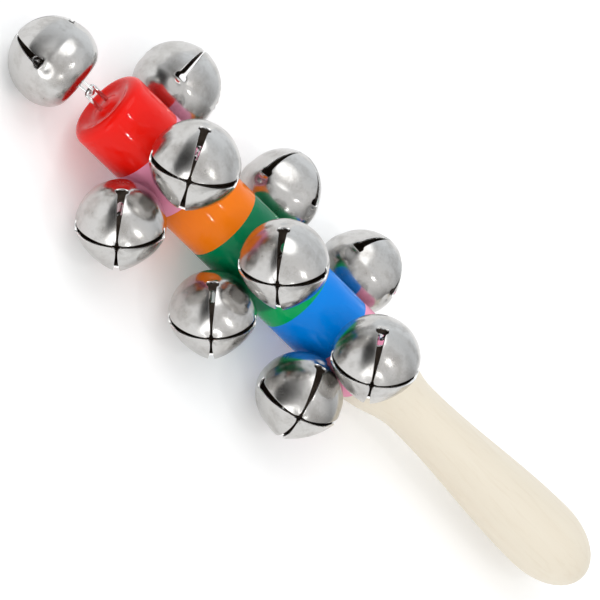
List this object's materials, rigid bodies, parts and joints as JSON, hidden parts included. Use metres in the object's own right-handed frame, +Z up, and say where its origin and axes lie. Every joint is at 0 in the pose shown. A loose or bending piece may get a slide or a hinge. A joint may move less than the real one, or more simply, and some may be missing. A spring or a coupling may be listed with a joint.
{
  "type": "jingle stick",
  "caption": "Turned wooden stick, barrel painted in bright bands, bare swelling handle, with cross-slit jingle bells swinging on staples round the barrel and at the tip.",
  "frame": {"origin": "bottom centre of the bounding box of the stick as it lies on its side bells, axis level", "axes": "+X along the stick from the tip bell to the end of the handle, +Z up from the surface it lies on"},
  "size_m": [0.2003, 0.0616, 0.0412],
  "materials": {
    "stick_wood": "gloss enamel bands on the barrel, bare matt handle",
    "bell_nickel": "bright nickel plate",
    "wire_steel": "bright drawn wire",
    "pellet_steel": "plain steel ball"
  },
  "bodies": {
    "stick": {"wooden_stick": "stick_wood", "tip_bell_staple": "wire_steel", "row1_front_bell_staple": "wire_steel", "row1_left_bell_staple": "wire_steel", "row1_right_bell_staple": "wire_steel", "row2_front_bell_staple": "wire_steel", "row2_left_bell_staple": "wire_steel", "row2_right_bell_staple": "wire_steel", "row3_front_bell_staple": "wire_steel", "row3_left_bell_staple": "wire_steel", "row3_right_bell_staple": "wire_steel"},
    "tip_bell": {"tip_bell_shell": "bell_nickel", "tip_bell_loop": "wire_steel"},
    "tip_bell_pellet_body": {"tip_bell_pellet": "pellet_steel"},
    "row1_front_bell": {"row1_front_bell_shell": "bell_nickel", "row1_front_bell_loop": "wire_steel"},
    "row1_front_bell_pellet_body": {"row1_front_bell_pellet": "pellet_steel"},
    "row1_left_bell": {"row1_left_bell_shell": "bell_nickel", "row1_left_bell_loop": "wire_steel"},
    "row1_left_bell_pellet_body": {"row1_left_bell_pellet": "pellet_steel"},
    "row1_right_bell": {"row1_right_bell_shell": "bell_nickel", "row1_right_bell_loop": "wire_steel"},
    "row1_right_bell_pellet_body": {"row1_right_bell_pellet": "pellet_steel"},
    "row2_front_bell": {"row2_front_bell_shell": "bell_nickel", "row2_front_bell_loop": "wire_steel"},
    "row2_front_bell_pellet_body": {"row2_front_bell_pellet": "pellet_steel"},
    "row2_left_bell": {"row2_left_bell_shell": "bell_nickel", "row2_left_bell_loop": "wire_steel"},
    "row2_left_bell_pellet_body": {"row2_left_bell_pellet": "pellet_steel"},
    "row2_right_bell": {"row2_right_bell_shell": "bell_nickel", "row2_right_bell_loop": "wire_steel"},
    "row2_right_bell_pellet_body": {"row2_right_bell_pellet": "pellet_steel"},
    "row3_front_bell": {"row3_front_bell_shell": "bell_nickel", "row3_front_bell_loop": "wire_steel"},
    "row3_front_bell_pellet_body": {"row3_front_bell_pellet": "pellet_steel"},
    "row3_left_bell": {"row3_left_bell_shell": "bell_nickel", "row3_left_bell_loop": "wire_steel"},
    "row3_left_bell_pellet_body": {"row3_left_bell_pellet": "pellet_steel"},
    "row3_right_bell": {"row3_right_bell_shell": "bell_nickel", "row3_right_bell_loop": "wire_steel"},
    "row3_right_bell_pellet_body": {"row3_right_bell_pellet": "pellet_steel"}
  },
  "joints": [
    {"name": "tip_bell_swing", "type": "hinge", "parent": "stick", "child": "tip_bell", "pos_m": [-0.07995, 0, 0.01314], "axis": [0, 1, 0], "range_deg": [-37, 73]},
    {"name": "tip_bell_pellet_rattle", "type": "slide", "parent": "tip_bell", "child": "tip_bell_pellet_body", "axis": [0, 0, 1], "range_m": [0, 0.0122]},
    {"name": "row1_front_bell_swing", "type": "hinge", "parent": "stick", "child": "row1_front_bell", "pos_m": [-0.05395, 0.00068, 0.02602], "axis": [-1, 0, 0], "range_deg": [0, 121]},
    {"name": "row1_front_bell_pellet_rattle", "type": "slide", "parent": "row1_front_bell", "child": "row1_front_bell_pellet_body", "axis": [0, 0, 1], "range_m": [0, 0.0122]},
    {"name": "row1_left_bell_swing", "type": "hinge", "parent": "stick", "child": "row1_left_bell", "pos_m": [-0.05485, -0.011, 0.0064], "axis": [1, 0, 0], "range_deg": [0, 121]},
    {"name": "row1_left_bell_pellet_rattle", "type": "slide", "parent": "row1_left_bell", "child": "row1_left_bell_pellet_body", "axis": [0, 0, 1], "range_m": [0, 0.0122]},
    {"name": "row1_right_bell_swing", "type": "hinge", "parent": "stick", "child": "row1_right_bell", "pos_m": [-0.05925, 0.01226, 0.00468], "axis": [-1, 0, 0], "range_deg": [0, 142]},
    {"name": "row1_right_bell_pellet_rattle", "type": "slide", "parent": "row1_right_bell", "child": "row1_right_bell_pellet_body", "axis": [0, 0, 1], "range_m": [0, 0.0122]},
    {"name": "row2_front_bell_swing", "type": "hinge", "parent": "stick", "child": "row2_front_bell", "pos_m": [-0.02185, -0.00045, 0.02603], "axis": [-1, 0, 0], "range_deg": [0, 121]},
    {"name": "row2_front_bell_pellet_rattle", "type": "slide", "parent": "row2_front_bell", "child": "row2_front_bell_pellet_body", "axis": [0, 0, 1], "range_m": [0, 0.0122]},
    {"name": "row2_left_bell_swing", "type": "hinge", "parent": "stick", "child": "row2_left_bell", "pos_m": [-0.02345, -0.011, 0.0064], "axis": [1, 0, 0], "range_deg": [0, 121]},
    {"name": "row2_left_bell_pellet_rattle", "type": "slide", "parent": "row2_left_bell", "child": "row2_left_bell_pellet_body", "axis": [0, 0, 1], "range_m": [0, 0.0122]},
    {"name": "row2_right_bell_swing", "type": "hinge", "parent": "stick", "child": "row2_right_bell", "pos_m": [-0.02065, 0.01221, 0.00459], "axis": [-1, 0, 0], "range_deg": [0, 142]},
    {"name": "row2_right_bell_pellet_rattle", "type": "slide", "parent": "row2_right_bell", "child": "row2_right_bell_pellet_body", "axis": [0, 0, 1], "range_m": [0, 0.0122]},
    {"name": "row3_front_bell_swing", "type": "hinge", "parent": "stick", "child": "row3_front_bell", "pos_m": [0.01005, -0.00112, 0.02599], "axis": [-1, 0, 0], "range_deg": [0, 121]},
    {"name": "row3_front_bell_pellet_rattle", "type": "slide", "parent": "row3_front_bell", "child": "row3_front_bell_pellet_body", "axis": [0, 0, 1], "range_m": [0, 0.0122]},
    {"name": "row3_left_bell_swing", "type": "hinge", "parent": "stick", "child": "row3_left_bell", "pos_m": [0.00705, -0.01144, 0.00718], "axis": [1, 0, 0], "range_deg": [0, 121]},
    {"name": "row3_left_bell_pellet_rattle", "type": "slide", "parent": "row3_left_bell", "child": "row3_left_bell_pellet_body", "axis": [0, 0, 1], "range_m": [0, 0.0122]},
    {"name": "row3_right_bell_swing", "type": "hinge", "parent": "stick", "child": "row3_right_bell", "pos_m": [0.00505, 0.01212, 0.00447], "axis": [-1, 0, 0], "range_deg": [0, 142]},
    {"name": "row3_right_bell_pellet_rattle", "type": "slide", "parent": "row3_right_bell", "child": "row3_right_bell_pellet_body", "axis": [0, 0, 1], "range_m": [0, 0.0122]}
  ]
}
